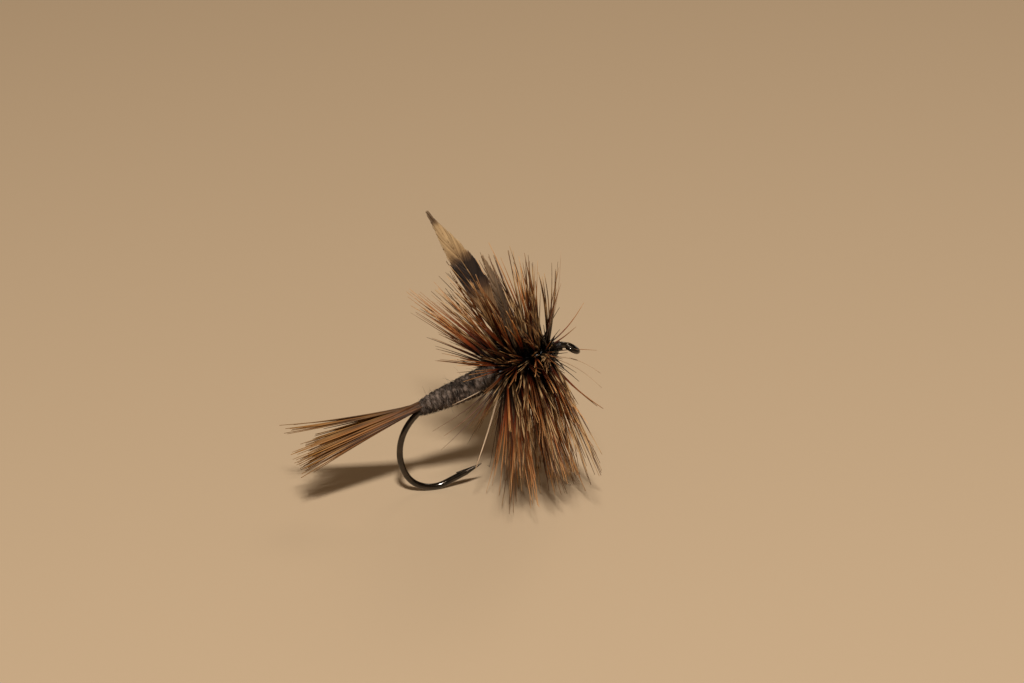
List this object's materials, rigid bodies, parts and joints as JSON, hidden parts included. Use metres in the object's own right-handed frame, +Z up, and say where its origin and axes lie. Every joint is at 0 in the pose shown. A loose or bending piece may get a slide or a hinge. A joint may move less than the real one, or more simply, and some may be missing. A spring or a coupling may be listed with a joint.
{
  "type": "dry fly",
  "caption": "Upright-wing dry fly: grey fur body, mixed brown and barred hackle, paired hackle-tip wings and a stiff fibre tail on a down-eye hook that stands on its hackle.",
  "frame": {"origin": "on the surface that the fly stands on, under the middle of its box", "axes": "+X level, towards the hook's eye; +Y to the fly's left-hand side when it is seen from behind with the wings up; +Z up"},
  "size_m": [0.0204, 0.0182, 0.0183],
  "materials": {
    "bronzed_wire": "dark bronze lacquer over drawn wire, glossy",
    "tying_thread": "waxed black thread, soft sheen",
    "grey_fur": "spun underfur, matte and fuzzy",
    "brown_feather": "stiff cock hackle, glossy red-brown",
    "grizzly_feather": "stiff cock hackle barred dark and cream",
    "wing_feather": "soft feather tip, cream with a near-black bar",
    "feather_quill": "horn-like quill, satin",
    "head_varnish": "hard clear varnish over black thread, high gloss"
  },
  "bodies": {
    "root": {"hook": "bronzed_wire", "thread_base": "tying_thread", "tail_brown_fibres": "brown_feather", "tail_grizzly_fibres": "grizzly_feather", "tail_lashing": "tying_thread", "body_dubbing": "grey_fur", "body_guard_hairs": "grey_fur", "wing_near_stem": "feather_quill", "wing_near_vane": "wing_feather", "wing_far_stem": "feather_quill", "wing_far_vane": "wing_feather", "wing_lashing": "tying_thread", "brown_hackle_quill": "brown_feather", "grizzly_hackle_quill": "grizzly_feather", "hackle_tie_down": "tying_thread", "head_thread": "tying_thread", "whip_finish": "tying_thread", "head_cement": "head_varnish", "brown_barbs_turn_1": "brown_feather", "grizzly_barbs_turn_1": "grizzly_feather", "brown_barbs_turn_2": "brown_feather", "grizzly_barbs_turn_2": "grizzly_feather", "brown_barbs_turn_3": "brown_feather", "grizzly_barbs_turn_3": "grizzly_feather", "brown_barbs_turn_4": "brown_feather", "grizzly_barbs_turn_4": "grizzly_feather", "brown_barbs_turn_5": "brown_feather", "grizzly_barbs_turn_5": "grizzly_feather"}
  },
  "joints": []
}
